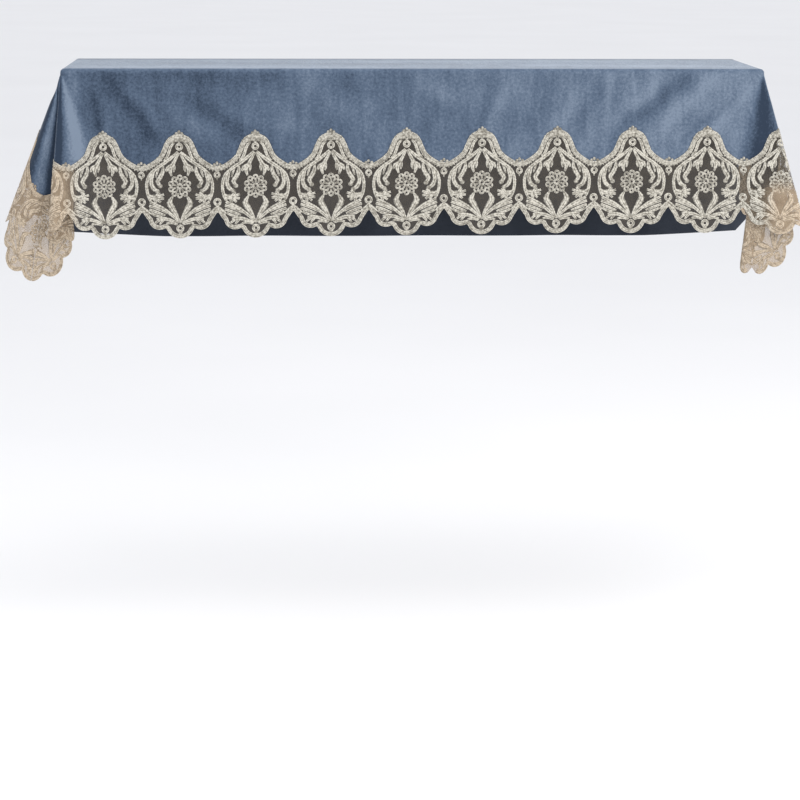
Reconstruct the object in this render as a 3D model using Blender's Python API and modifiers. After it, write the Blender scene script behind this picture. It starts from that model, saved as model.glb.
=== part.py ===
"""A velvet cover with a lace trim, draped over a long flat top.

Metres, +Z up. +X runs along the width and -Y is the front. The origin is the middle of the
underside of the part that lies flat. A point of the uncut cloth has the flat coordinates x, y,
and drape() gives the place where that point comes to hang.
"""

import math

import bpy
import numpy as np
from mathutils import Vector
from mathutils.geometry import delaunay_2d_cdt

# The flat top under the cloth
TOP_WIDTH = 1.500
TOP_DEPTH = 0.360
EDGE_ROUND = 0.009

# The cloth and the lace
VELVET = 0.0020
LACE = 0.0010
CLEAR = 0.0003
LACE_OVERLAP = 0.008
BACK_DROP = 0.405
SIDE_END = 0.060
BACK_CORNER_CUT = 0.105

# One repeat of the lace, with heights measured down from the edge of the top
PITCH = 0.1622
UPPER_EDGE = (
    # across from the middle, down
    (0.0000, 0.127),
    (0.0100, 0.128),
    (0.0217, 0.134),
    (0.0280, 0.141),
    (0.0320, 0.149),
    (0.0365, 0.160),
    (0.0410, 0.171),
    (0.0500, 0.180),
    (0.0600, 0.187),
    (0.0720, 0.194),
    (0.0811, 0.195),
)
LOBES = (
    # across, down, radius
    (0.000, 0.320, 0.031),
    (0.044, 0.308, 0.024),
)
LOWER_VALLEY = 0.293
LOWER_SLOPE = 1.50
LOWER_RISE = 0.018
EDGE_STATIONS = (0.0, 0.010, 0.0217, 0.028, 0.036, 0.044, 0.054, 0.066, 0.0811)
STATION_APART = 0.003
FIRST_VALLEY_X = -0.746
EVEN_FROM_X = -0.907
EVEN_TO_X = 0.783
LEFT_STRETCH = 1.15
RIGHT_STRETCH = 1.11
LEFT_REACH = 0.326
RIGHT_REACH = 0.300

# On the left side the repeats near the corner are drawn out, and the left end hangs lower
LEFT_SIDE_SHIFT = 0.0265
SHIFT_FROM = 0.080
SHIFT_TO = 0.160
LEFT_SAG = 0.0105
SAG_COUNTS = (-2.0, -1.2, 0.5, 7.0)

# The open gaps of one repeat: a mirrored one stands on both sides of its middle
GAPS = (
    # across, down, half width, half height, tilt in degrees, corners, mirrored
    (0.0000, 0.2010, 0.0120, 0.0110, 0, 8, False),
    (0.0320, 0.2330, 0.0070, 0.0200, 8, 8, True),
    (0.0000, 0.2740, 0.0130, 0.0100, 0, 8, False),
    (0.0270, 0.1740, 0.0032, 0.0170, -42, 6, True),
    (0.0150, 0.3250, 0.0065, 0.0055, 25, 6, True),
    (0.0520, 0.3120, 0.0070, 0.0050, 25, 6, True),
    (0.0811, 0.2430, 0.0045, 0.0170, 0, 6, False),
)

# The fold at a corner, as a path round it. Lengths and radii are shares of the distance from the
# corner. A turn to the left is positive. A run of None is worked out so that the path closes.
FRONT_SPREAD = 0.60
WIDE_EAR = (
    # run, turn in degrees, radius
    (0.10, 17, 0.40),
    (0.45, -192, 0.032),
    (0.10, 175, 0.034),
    (0.28, -180, 0.140),
    (None, 90, 0.040),
    (None, 0, 0.0),
)
WIDE_EAR_SIDE_SPREAD = 0.35
FLAT_EAR = (
    (0.10, 16, 0.40),
    (0.64, -188, 0.034),
    (0.32, 172, 0.034),
    (0.21, -130, 0.080),
    (None, 40, 0.060),
    (None, 0, 0.0),
)
FLAT_EAR_SIDE_SPREAD = 0.40
TURN_STEP = math.radians(34)
STRAIGHT_STEP = 0.16
FOLD_START = 0.012
PLEAT_START = 0.055
PLEAT_FULL = 0.128
LOOP_PULL_OUT = 2.1
LOOP_RISE = 0.12
LOOP_PULL_IN = 0.22
LOOP_NARROWING = 0.72
BLEND_WIDTH = 0.027

# Shallow waves in the hanging panels, away from the corners
WAVE_DEPTH_AT = 0.20
FRONT_WAVES = (
    # centre x, half width, outward
    (-0.400, 0.110, 0.0060),
    (-0.080, 0.150, 0.0035),
    (0.190, 0.100, 0.0060),
    (0.420, 0.090, 0.0045),
)
BACK_WAVES = (
    (-0.330, 0.150, 0.0080),
    (0.050, 0.130, 0.0050),
    (0.360, 0.120, 0.0070),
)
WAVE_CLEAR = 0.130

# Spacing of the points in the flat cloth
GRID = 0.075
EDGE_LINES = (-1.0, -0.3, 0.4, 1.0)
EDGE_LINE_PAST = 0.004
FRONT_ROWS = (0.06, 0.12)
BACK_ROWS = (0.09, 0.18, 0.27, 0.36)
ROW_INSET = 0.10
RULING_STOPS = (0.045, 0.066, 0.084, 0.098, 0.112, 0.128)
RULING_END = 0.480
CREASE_CLEAR = 0.0028
COUNT_STEP = 0.001
GAP_ROOM = 0.004
HALF_SEAM = 0.00024
SEAM_FROM = 0.10
SEAM_TO = 0.45
HALVINGS = 50
NORMAL_STEP = 0.0015

HALF_WIDTH = TOP_WIDTH / 2
HALF_DEPTH = TOP_DEPTH / 2
QUARTER = math.pi / 2


def smooth(low, high, value):
    """0 below low, 1 above high, and a smooth step between."""
    t = np.clip((value - low) / (high - low), 0, 1)
    return t * t * (3 - 2 * t)


def soft_positive(value):
    """The positive part of a value, with a rounded start."""
    e = EDGE_ROUND
    middle = (np.clip(value, -e, e) + e) ** 2 / (4 * e)
    return np.where(value > e, value, middle)


def walk(table, start):
    """The points of a path of runs and turns, the length walked at each, and the first fold."""
    place = np.array(start)
    heading = math.pi
    points = [place.copy()]
    lengths = [0.0]
    first_fold = 0.0
    for number, (run, turn, radius) in enumerate(table):
        steps = max(1, math.ceil(run / STRAIGHT_STEP))
        for _ in range(steps):
            place = place + run / steps * np.array([math.cos(heading), math.sin(heading)])
            points.append(place.copy())
            lengths.append(lengths[-1] + run / steps)
        if number == 1:
            first_fold = lengths[-1]
        angle = math.radians(turn)
        steps = math.ceil(abs(angle) / TURN_STEP)
        for _ in range(steps):
            part = angle / steps
            chord = 2 * radius * math.sin(abs(part) / 2)
            middle = heading + part / 2
            place = place + chord * np.array([math.cos(middle), math.sin(middle)])
            heading += part
            points.append(place.copy())
            lengths.append(lengths[-1] + radius * abs(part))
    return np.array(points), np.array(lengths), first_fold


def close_path(table, side_spread):
    """The table with its two open runs worked out, so that the path ends on the side panel."""
    open_rows = [row for row in range(len(table)) if table[row][0] is None]
    start = (FRONT_SPREAD, 0.0)
    goal = np.array([0.0, side_spread])

    def with_runs(runs):
        rows = list(table)
        for row, run in zip(open_rows, runs):
            rows[row] = (run, rows[row][1], rows[row][2])
        return rows

    base = walk(with_runs((0.0, 0.0)), start)[0][-1]
    along_first = walk(with_runs((1.0, 0.0)), start)[0][-1] - base
    along_second = walk(with_runs((0.0, 1.0)), start)[0][-1] - base
    runs = np.linalg.solve(np.column_stack((along_first, along_second)), goal - base)
    return with_runs(tuple(runs))


class Corner:
    """The folds of one corner, as straight rulings that run out from it."""

    def __init__(self, table, side_spread):
        rows = close_path(table, side_spread)
        points, lengths, first_fold = walk(rows, (FRONT_SPREAD, 0.0))
        keep = np.concatenate(([True], np.diff(lengths) > 1e-6))
        points, lengths = points[keep], lengths[keep]
        rest = QUARTER + side_spread + FRONT_SPREAD - first_fold
        scale = rest / (lengths[-1] - first_fold)
        past = np.maximum(lengths - first_fold, 0)
        self.angles = -FRONT_SPREAD + np.minimum(lengths, first_fold) + past * scale
        self.folded = points
        self.plain = np.column_stack(
            (np.maximum(-self.angles, 0), np.maximum(self.angles - QUARTER, 0))
        )
        self.loop = self.without_pleat(first_fold - FRONT_SPREAD)

    def without_pleat(self, fold_angle):
        """The path close to the corner, where no pleat has begun: one round loop."""
        share = np.clip((self.angles - fold_angle) / (self.angles[-1] - fold_angle), 0, 1)
        start = self.folded[np.argmin(np.abs(self.angles - fold_angle))]
        finish = self.folded[-1]
        pull_out = LOOP_PULL_OUT * (LOOP_NARROWING * start[0] - self.folded[:, 0].min())
        pulls = (
            ((1 - share) ** 3, start),
            (3 * (1 - share) ** 2 * share, start + (-pull_out, LOOP_RISE)),
            (3 * (1 - share) * share**2, finish - (0, LOOP_PULL_IN)),
            (share**3, finish),
        )
        loop = sum(weight[:, None] * point for weight, point in pulls)
        return np.where((self.angles > fold_angle)[:, None], loop, self.folded)

    def ruling(self, index, distance):
        """Places on the rulings of these numbers, at these distances from the corner."""
        late = smooth(PLEAT_START, PLEAT_FULL, distance)
        late = late[:, None]
        path = self.loop[index] + late * (self.folded[index] - self.loop[index])
        grown = soft_positive(distance - FOLD_START) / np.maximum(distance, 1e-6)
        across, inward = (self.plain[index] + grown[:, None] * (path - self.plain[index])).T
        size = np.maximum(np.hypot(across, inward), 1e-9)
        side = np.sin(size) / size
        return distance[:, None] * np.column_stack(
            (side * across, side * inward, -np.cos(size))
        )

    def place(self, x, y):
        """Where a flat point x beyond the side edge and y beyond the front edge comes to lie."""
        angle = np.arctan2(x, y)
        distance = np.hypot(x, y)
        front = np.column_stack((-x, np.zeros_like(x), -y))
        side = np.column_stack((np.zeros_like(x), -y, -x))
        index = np.clip(np.searchsorted(self.angles, angle) - 1, 0, len(self.angles) - 2)
        low, high = self.angles[index], self.angles[index + 1]
        from_low = distance * np.sin(angle - low) / np.sin(high - low)
        from_high = distance * np.sin(high - angle) / np.sin(high - low)
        total = from_low + from_high
        share = from_low / np.where(total == 0, 1, total)
        fold = (1 - share)[:, None] * self.ruling(index, total)
        fold += share[:, None] * self.ruling(index + 1, total)
        result = np.where((angle < self.angles[0])[:, None], front, fold)
        return np.where((angle > self.angles[-1])[:, None], side, result)


CORNERS = {
    ("left", "front"): Corner(WIDE_EAR, WIDE_EAR_SIDE_SPREAD),
    ("right", "front"): Corner(FLAT_EAR, FLAT_EAR_SIDE_SPREAD),
    ("left", "back"): Corner(FLAT_EAR, FLAT_EAR_SIDE_SPREAD),
    ("right", "back"): Corner(FLAT_EAR, FLAT_EAR_SIDE_SPREAD),
}


def wave(x, down, table):
    """How far a hanging panel stands out."""
    swell = np.zeros_like(x)
    for centre, half_width, outward in table:
        swell += outward * (1 - smooth(0, half_width, np.abs(x - centre)))
    window = 1 - smooth(HALF_WIDTH - 2 * WAVE_CLEAR, HALF_WIDTH - WAVE_CLEAR, np.abs(x))
    return swell * window * smooth(0, WAVE_DEPTH_AT, down)


def drape_corner(corner, x_out, y_out):
    """One quarter of the cloth, seen from its corner of the top."""
    soft_x, soft_y = soft_positive(x_out), soft_positive(y_out)
    by_front = corner.place(x_out, soft_y)
    by_front[:, 1] += soft_y - y_out
    by_side = corner.place(soft_x, y_out)
    by_side[:, 0] += soft_x - x_out
    share = smooth(-BLEND_WIDTH, BLEND_WIDTH, x_out - y_out)[:, None]
    return (1 - share) * by_front + share * by_side


def drape(x, y):
    """The inner face of the hanging cloth, for arrays of flat coordinates."""
    x, y = np.asarray(x, float), np.asarray(y, float)
    result = np.zeros((len(x), 3))
    for side, x_sign in (("left", -1), ("right", 1)):
        for end, y_sign in (("front", -1), ("back", 1)):
            mine = ((x < 0) == (x_sign < 0)) & ((y < 0) == (y_sign < 0))
            if not mine.any():
                continue
            x_out = x_sign * x[mine] - HALF_WIDTH
            y_out = y_sign * y[mine] - HALF_DEPTH
            local = drape_corner(CORNERS[side, end], x_out, y_out)
            waves = FRONT_WAVES if end == "front" else BACK_WAVES
            local[:, 1] -= wave(x[mine], y_out, waves)
            result[mine, 0] = x_sign * (HALF_WIDTH - local[:, 0])
            result[mine, 1] = y_sign * (HALF_DEPTH - local[:, 1])
            result[mine, 2] = local[:, 2]
    return result


def outward(x, y, step=NORMAL_STEP):
    """The unit normal of the hanging cloth, on its outer side."""
    along_x = drape(x + step, y) - drape(x - step, y)
    along_y = drape(x, y + step) - drape(x, y - step)
    normal = np.cross(along_x, along_y)
    return normal / np.linalg.norm(normal, axis=1)[:, None]


def front_repeat(x):
    """The count of lace repeats along the front, whole at a valley.

    The repeats beyond each end of the front are drawn out a little on their way to the corner.
    """
    x = np.asarray(x, float)
    even = np.clip(x, EVEN_FROM_X, EVEN_TO_X) - FIRST_VALLEY_X
    left = np.maximum(EVEN_FROM_X - x, 0) / LEFT_STRETCH
    right = np.maximum(x - EVEN_TO_X, 0) / RIGHT_STRETCH
    return (even + right - left) / PITCH


def side_repeat(side, y_out):
    """The same count along one side, so that the lace matches at the mitre."""
    y_out = np.asarray(y_out, float)
    if side == "right":
        return front_repeat(HALF_WIDTH + y_out)
    shift = LEFT_SIDE_SHIFT * (1 - smooth(SHIFT_FROM, SHIFT_TO, y_out))
    return front_repeat(-HALF_WIDTH - y_out - shift)


def from_middle(count):
    """The distance from the middle of a lace repeat."""
    return PITCH * (count - np.floor(count) - 0.5)


def upper_edge(count):
    """How far down the upper edge of the lace is."""
    across, down = np.array(UPPER_EDGE).T
    return np.interp(np.abs(from_middle(count)), across, down)


def sag(count):
    """How much lower the lace hangs towards its left end."""
    start, full, falling, none = SAG_COUNTS
    return LEFT_SAG * smooth(start, full, count) * (1 - smooth(falling, none, count))


def lower_edge(count):
    """How far down the lower edge of the lace is."""
    across = np.abs(from_middle(count))
    down = LOWER_VALLEY + np.minimum(LOWER_SLOPE * (PITCH / 2 - across), LOWER_RISE)
    for centre, depth, radius in LOBES:
        bow = np.sqrt(np.maximum(radius**2 - (across - centre) ** 2, 0))
        down = np.where(np.abs(across - centre) < radius, np.maximum(down, depth + bow), down)
    return down


def velvet_edge(count):
    """The velvet reaches a little way under the lace."""
    return upper_edge(count) + sag(count) + LACE_OVERLAP


def steps_between(low, high, step):
    return np.linspace(low, high, max(2, round((high - low) / step) + 1))


def place_of_count(count_at, low, high):
    """Counts in rising order and their places along a trim."""
    span = steps_between(low, high, COUNT_STEP)
    counts = count_at(span)
    if counts[0] > counts[-1]:
        return counts[::-1], span[::-1]
    return counts, span


def stations(count_at, low, high):
    """The two ends of a trim and the chosen points of each repeat between them."""
    counts, span = place_of_count(count_at, low, high)
    places = []
    for whole in range(math.floor(counts[0]), math.ceil(counts[-1])):
        for across in EDGE_STATIONS:
            for sign in (-1, 1):
                wanted = whole + 0.5 + sign * across / PITCH
                places.append(float(np.interp(wanted, counts, span)))
    kept = [low]
    for place in sorted(places):
        if place - kept[-1] > STATION_APART and high - place > STATION_APART:
            kept.append(place)
    return np.array(kept + [high])


def cross_diagonal(edge, repeat):
    """The distance along an edge at which it meets the diagonal of the corner."""
    low, high = SEAM_FROM, SEAM_TO
    for _ in range(HALVINGS):
        middle = (low + high) / 2
        if edge(repeat(middle)) > middle:
            low = middle
        else:
            high = middle
    return low


def velvet_side(side, diagonal):
    """The cut edge along one side, from the front diagonal to the back."""

    def count_at(y):
        return side_repeat(side, -HALF_DEPTH - y)

    y = stations(count_at, -HALF_DEPTH - diagonal, HALF_DEPTH + SIDE_END)
    sign = -1 if side == "left" else 1
    x = sign * (HALF_WIDTH + velvet_edge(count_at(y)))
    back = HALF_DEPTH + BACK_DROP
    points = list(zip(x, y))
    points.append((x[-1], back - BACK_CORNER_CUT))
    points.append((x[-1] - sign * BACK_CORNER_CUT, back))
    return points


def velvet_outline():
    """The cut edge of the velvet, anticlockwise from the left end of the front."""
    left = cross_diagonal(velvet_edge, lambda out: front_repeat(-HALF_WIDTH - out))
    right = cross_diagonal(velvet_edge, lambda out: front_repeat(HALF_WIDTH + out))
    x = stations(front_repeat, -HALF_WIDTH - left, HALF_WIDTH + right)
    points = list(zip(x, -HALF_DEPTH - velvet_edge(front_repeat(x))))
    points += velvet_side("right", right)[1:]
    points += velvet_side("left", left)[:0:-1]
    return [tuple(point) for point in points]


def corner_signs(side, end):
    return (-1 if side == "left" else 1), (-1 if end == "front" else 1)


def at_corner(side, end, distance, angle):
    """The flat point at this distance and angle from a corner of the top."""
    x_sign, y_sign = corner_signs(side, end)
    x = x_sign * (HALF_WIDTH + distance * math.sin(angle))
    y = y_sign * (HALF_DEPTH + distance * math.cos(angle))
    return x, y


def rulings(side, end, stops):
    """The straight fold lines of one corner, as runs of flat points."""
    lines = []
    for number, angle in enumerate(CORNERS[side, end].angles):
        stretch = stops[number % 2 :] + (RULING_END,)
        lines.append([at_corner(side, end, stop, angle) for stop in stretch])
    return lines


def settle(point):
    """Move a flat point that lies beside a fold line onto it."""
    x, y = point
    side = "left" if x < 0 else "right"
    end = "front" if y < 0 else "back"
    x_sign, y_sign = corner_signs(side, end)
    x_out = x_sign * x - HALF_WIDTH
    y_out = y_sign * y - HALF_DEPTH
    distance = math.hypot(x_out, y_out)
    angle = math.atan2(x_out, y_out)
    angles = CORNERS[side, end].angles
    nearest = angles[np.argmin(np.abs(angles - angle))]
    if distance * abs(nearest - angle) < CREASE_CLEAR:
        return at_corner(side, end, distance, nearest)
    return point


def top_edge_lines():
    """Lines beside each edge of the top, where the cloth turns down."""
    lines = []
    past_x = HALF_WIDTH + EDGE_LINE_PAST
    past_y = HALF_DEPTH + EDGE_LINE_PAST
    for offset in EDGE_LINES:
        depth = HALF_DEPTH + offset * EDGE_ROUND
        width = HALF_WIDTH + offset * EDGE_ROUND
        for sign in (-1, 1):
            x = steps_between(-past_x, past_x, 2 * GRID)
            lines.append([(value, sign * depth) for value in x])
            y = steps_between(-past_y, past_y, 2 * GRID)
            lines.append([(sign * width, value) for value in y])
    return lines


def panel_points():
    """Points that carry the waves of the hanging panels."""
    points = []
    for x in steps_between(-HALF_WIDTH + ROW_INSET, HALF_WIDTH - ROW_INSET, GRID):
        points += [(x, -HALF_DEPTH - down) for down in FRONT_ROWS]
        points += [(x, HALF_DEPTH + down) for down in BACK_ROWS]
    return points


def anticlockwise(loop):
    """The same closed outline, run anticlockwise."""
    x, y = np.array(loop).T
    area = np.sum(x * np.roll(y, -1) - y * np.roll(x, -1))
    return list(loop) if area > 0 else list(loop)[::-1]


def cut_flat(outline, holes, lines, loose, keep):
    """Triangles of the flat cloth inside its outline, with its holes cut through."""
    points = [Vector(settle(point)) for point in anticlockwise(outline)]
    faces = [list(range(len(points)))]
    for hole in holes:
        faces.append(list(range(len(points), len(points) + len(hole))))
        points += [Vector(settle(point)) for point in anticlockwise(hole)]
    edges = []
    for line in lines:
        first = len(points)
        points += [Vector(point) for point in line]
        edges += [(number, number + 1) for number in range(first, first + len(line) - 1)]
    points += [Vector(settle(point)) for point in loose]
    verts, _, triangles, _, _, origins = delaunay_2d_cdt(points, edges, faces, 0, 1e-5)
    flat = np.array([tuple(vert) for vert in verts])
    kept = []
    for triangle, origin in zip(triangles, origins):
        inside = 0 in origin and all(number == 0 for number in origin)
        if inside and keep(*flat[list(triangle)].mean(axis=0)):
            kept.append(triangle)
    used = sorted({vert for triangle in kept for vert in triangle})
    renumber = {vert: number for number, vert in enumerate(used)}
    return flat[used], [[renumber[vert] for vert in triangle] for triangle in kept]


def material(name, colour, roughness):
    made = bpy.data.materials.new(name)
    made.use_nodes = True
    shader = made.node_tree.nodes["Principled BSDF"]
    shader.inputs["Base Color"].default_value = (*colour, 1.0)
    shader.inputs["Roughness"].default_value = roughness
    shader.inputs["Metallic"].default_value = 0.0
    return made


def sheet(name, flat, triangles, lift, thickness, look, collection):
    """A hanging sheet of cloth whose inner face stands off the drape by lift."""
    x, y = flat[:, 0], flat[:, 1]
    places = drape(x, y)
    if lift > 0:
        places = places + lift * outward(x, y)
    mesh = bpy.data.meshes.new(name)
    mesh.from_pydata(places.tolist(), [], triangles)
    mesh.materials.append(look)
    piece = bpy.data.objects.new(name, mesh)
    collection.objects.link(piece)
    shell = piece.modifiers.new("thickness", "SOLIDIFY")
    shell.thickness = thickness
    shell.offset = 1.0
    return piece


def make_velvet(collection):
    lines = top_edge_lines()
    for side, end in CORNERS:
        lines += rulings(side, end, RULING_STOPS)
    flat, triangles = cut_flat(
        velvet_outline(), [], lines, panel_points(), lambda x, y: True
    )
    look = material("velvet", (0.115, 0.175, 0.270), 0.85)
    sheet("velvet_cloth", flat, triangles, 0.0, VELVET, look, collection)


def gap(middle, sunk, row):
    """The corners of one gap, in lace coordinates: along the trim and down."""
    across, down, half_width, half_height, tilt, corners, _ = row
    turn = math.radians(tilt)
    points = []
    for number in range(corners):
        angle = 2 * math.pi * (number + 0.5) / corners
        x, y = half_width * math.cos(angle), half_height * math.sin(angle)
        along = x * math.cos(turn) - y * math.sin(turn)
        drop = down + sunk + x * math.sin(turn) + y * math.cos(turn)
        points.append((middle + across + along, drop))
    return points


def mirrored(row):
    return (-row[0],) + row[1:4] + (-row[4],) + row[5:]


def lace_gaps(count_at, low, high):
    """All the gaps along a strip, in lace coordinates."""
    counts, span = place_of_count(count_at, low, high)
    holes = []
    for whole in range(math.floor(counts[0]), math.ceil(counts[-1])):
        middle = float(np.interp(whole + 0.5, counts, span))
        sunk = float(sag(whole + 0.5))
        for row in GAPS:
            holes.append(gap(middle, sunk, row))
            if row[6]:
                holes.append(gap(middle, sunk, mirrored(row)))
    return holes


def seam_line(side, shift):
    """The cut beside the mitre of one front corner, as a run of flat points."""
    x_sign, y_sign = corner_signs(side, "front")
    line = []
    for out in (SEAM_FROM, SEAM_TO):
        line.append((x_sign * (HALF_WIDTH + out + shift), y_sign * (HALF_DEPTH + out)))
    return line


def strip(name, count_at, low, high, to_flat, allowed, seam_shift, corners, look, collection):
    """One strip of lace. Its own coordinates are along the trim and down from the top's edge."""
    along = stations(count_at, low, high)
    counts = count_at(along)
    upper = list(zip(along, upper_edge(counts) + sag(counts)))
    lower = list(zip(along, lower_edge(counts) + sag(counts)))
    outline = [to_flat(*point) for point in upper + lower[::-1]]
    holes = []
    for hole in lace_gaps(count_at, low, high):
        inside = all(low + GAP_ROOM < x < high - GAP_ROOM for x, _ in hole)
        flat_hole = [to_flat(*point) for point in hole]
        if inside and all(allowed(x, y, GAP_ROOM) for x, y in flat_hole):
            holes.append(flat_hole)
    lines = []
    for side, end in corners:
        lines += rulings(side, end, RULING_STOPS[-2:])
        if end == "front":
            lines.append(seam_line(side, seam_shift))
    flat, triangles = cut_flat(outline, holes, lines, [], lambda x, y: allowed(x, y, 0))
    sheet(name, flat, triangles, VELVET + CLEAR, LACE, look, collection)


def in_front(x, y, room):
    """Whether a flat point lies before the diagonals of the front corners."""
    return abs(x) - HALF_WIDTH < -y - HALF_DEPTH - HALF_SEAM - room


def at_side(x, y, room):
    """Whether a flat point lies beside the diagonals of the front corners."""
    return abs(x) - HALF_WIDTH > -y - HALF_DEPTH + HALF_SEAM + room


def make_lace(collection):
    """The trim along the front and both sides, mitred at the two front corners."""
    strip(
        "lace_front",
        front_repeat,
        -HALF_WIDTH - LEFT_REACH,
        HALF_WIDTH + RIGHT_REACH,
        lambda along, down: (along, -HALF_DEPTH - down),
        in_front,
        -HALF_SEAM,
        (("left", "front"), ("right", "front")),
        material("lace front", (0.66, 0.62, 0.54), 0.8),
        collection,
    )
    for side, sign, reach in (("left", -1, LEFT_REACH), ("right", 1, RIGHT_REACH)):
        strip(
            "lace_" + side,
            lambda along, side=side: side_repeat(side, -HALF_DEPTH - along),
            -HALF_DEPTH - reach,
            HALF_DEPTH,
            lambda along, down, sign=sign: (sign * (HALF_WIDTH + down), along),
            at_side,
            HALF_SEAM,
            ((side, "front"), (side, "back")),
            material("lace " + side, (0.62, 0.56, 0.47), 0.8),
            collection,
        )


def main():
    for old in list(bpy.data.objects):
        bpy.data.objects.remove(old, do_unlink=True)
    collection = bpy.data.collections.new("piano_top_cover")
    bpy.context.scene.collection.children.link(collection)
    make_velvet(collection)
    make_lace(collection)


main()
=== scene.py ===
import math

import bpy
import numpy as np
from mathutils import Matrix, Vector
from mathutils.geometry import delaunay_2d_cdt


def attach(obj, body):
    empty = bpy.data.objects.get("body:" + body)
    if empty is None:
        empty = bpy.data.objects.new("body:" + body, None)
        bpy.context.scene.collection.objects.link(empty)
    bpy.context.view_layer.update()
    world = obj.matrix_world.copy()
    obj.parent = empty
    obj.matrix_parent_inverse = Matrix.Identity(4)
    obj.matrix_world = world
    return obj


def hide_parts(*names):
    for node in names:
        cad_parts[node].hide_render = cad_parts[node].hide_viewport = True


# Sizes of the cover, as in the solids, in metres
TOP_WIDTH = 1.500
TOP_DEPTH = 0.360
EDGE_ROUND = 0.009
VELVET = 0.0020
LACE_LIFT = 0.0028
BACK_DROP = 0.405
SIDE_END = 0.060
BACK_CORNER_CUT = 0.105
LACE_OVERLAP = 0.008

PITCH = 0.1622
UPPER_EDGE = (
    # across from the middle, down
    (0.0000, 0.127),
    (0.0100, 0.128),
    (0.0217, 0.134),
    (0.0280, 0.141),
    (0.0320, 0.149),
    (0.0365, 0.160),
    (0.0410, 0.171),
    (0.0500, 0.180),
    (0.0600, 0.187),
    (0.0720, 0.194),
    (0.0811, 0.195),
)
LOBES = (
    # across, down, radius
    (0.000, 0.320, 0.031),
    (0.044, 0.308, 0.024),
)
LOWER_VALLEY = 0.293
LOWER_SLOPE = 1.50
LOWER_RISE = 0.018
FIRST_VALLEY_X = -0.746
EVEN_FROM_X = -0.907
EVEN_TO_X = 0.783
LEFT_STRETCH = 1.15
RIGHT_STRETCH = 1.11
LEFT_REACH = 0.326
RIGHT_REACH = 0.300

# On the left side the repeats near the corner are drawn out, and the left end hangs lower
LEFT_SIDE_SHIFT = 0.0265
SHIFT_FROM = 0.080
SHIFT_TO = 0.160
LEFT_SAG = 0.0105
SAG_COUNTS = (-2.0, -1.2, 0.5, 7.0)

# Corner folds: runs and turns round a corner, as shares of the distance from it
FRONT_SPREAD = 0.60
WIDE_EAR = (
    # run, turn in degrees, radius
    (0.10, 17, 0.40),
    (0.45, -192, 0.032),
    (0.10, 175, 0.034),
    (0.28, -180, 0.140),
    (None, 90, 0.040),
    (None, 0, 0.0),
)
WIDE_EAR_SIDE_SPREAD = 0.35
FLAT_EAR = (
    (0.10, 16, 0.40),
    (0.64, -188, 0.034),
    (0.32, 172, 0.034),
    (0.21, -130, 0.080),
    (None, 40, 0.060),
    (None, 0, 0.0),
)
FLAT_EAR_SIDE_SPREAD = 0.40
TURN_STEP = math.radians(15)
STRAIGHT_STEP = 0.06
FOLD_START = 0.012
PLEAT_START = 0.014
PLEAT_FULL = 0.078
LOOP_PULL_OUT = 2.1
LOOP_START = 0.72
LOOP_RISE = 0.12
LOOP_PULL_IN = 0.22

WAVE_DEPTH_AT = 0.20
FRONT_WAVES = (
    # centre x, half width, outward
    (-0.400, 0.110, 0.0060),
    (-0.080, 0.150, 0.0035),
    (0.190, 0.100, 0.0060),
    (0.420, 0.090, 0.0045),
)
BACK_WAVES = (
    (-0.330, 0.150, 0.0080),
    (0.050, 0.130, 0.0050),
    (0.360, 0.120, 0.0070),
)
WAVE_CLEAR = 0.130

# How the cloth is divided: steps along its cut edges and fold lines, and grids on its panels
EDGE_STEP = 0.006
LINE_STEP = 0.012
FOLD_STOP_STEP = 0.0095
TOP_GRID = 0.020
FRONT_GRID = 0.0095
BACK_GRID = 0.013
SIDE_GRID = 0.012
PANEL_FROM = 0.018
PANEL_TO = 0.205
FOLD_FROM = 0.02
FOLD_ROOM = 0.02
MERGE = 1e-5
EDGE_LINES = (-1.0, -0.6, -0.2, 0.2, 0.6, 1.0, 1.4)
NORMAL_STEP = 0.0015
HALVINGS = 50
DIAGONAL_FROM = 0.05
DIAGONAL_TO = 0.40

# Soft bands on the hanging front, where the cloth swells or dips a little and the pile lies lighter or
# darker: in part the pile's own tone, and in part painted light and shade of these soft folds. Rows:
# ends as x and down, half width, tone
FRONT_BANDS = (
    (-0.728, 0.000, -0.722, 0.170, 0.016, 0.75),
    (-0.683, 0.060, -0.670, 0.130, 0.008, -0.70),
    (-0.656, 0.100, -0.645, 0.150, 0.012, 0.35),
    (-0.660, 0.015, -0.560, 0.134, 0.020, -0.55),
    (-0.608, 0.040, -0.528, 0.140, 0.014, 0.40),
    (-0.520, 0.080, -0.445, 0.135, 0.018, 0.35),
    (-0.468, 0.060, -0.385, 0.130, 0.017, -0.45),
    (-0.400, 0.092, -0.270, 0.120, 0.018, 0.28),
    (-0.560, 0.008, -0.300, 0.024, 0.024, -0.28),
    (-0.230, 0.030, -0.120, 0.110, 0.022, 0.22),
    (-0.150, 0.010, -0.040, 0.090, 0.020, -0.20),
    (0.012, 0.020, 0.085, 0.066, 0.020, 0.32),
    (0.050, 0.080, 0.012, 0.125, 0.016, -0.35),
    (0.205, 0.014, 0.165, 0.110, 0.011, 0.45),
    (0.180, 0.030, 0.135, 0.130, 0.013, -0.35),
    (0.300, 0.010, 0.240, 0.120, 0.016, -0.25),
    (0.356, 0.040, 0.300, 0.130, 0.015, 0.38),
    (0.422, 0.000, 0.416, 0.080, 0.009, 0.38),
    (0.400, 0.030, 0.350, 0.140, 0.013, -0.28),
    (0.530, 0.020, 0.430, 0.110, 0.015, 0.45),
    (0.590, 0.012, 0.466, 0.115, 0.018, -0.65),
    (0.650, 0.016, 0.530, 0.125, 0.016, 0.55),
    (0.694, 0.060, 0.610, 0.125, 0.008, -0.60),
    (0.728, 0.030, 0.640, 0.140, 0.013, 0.40),
)
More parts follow.
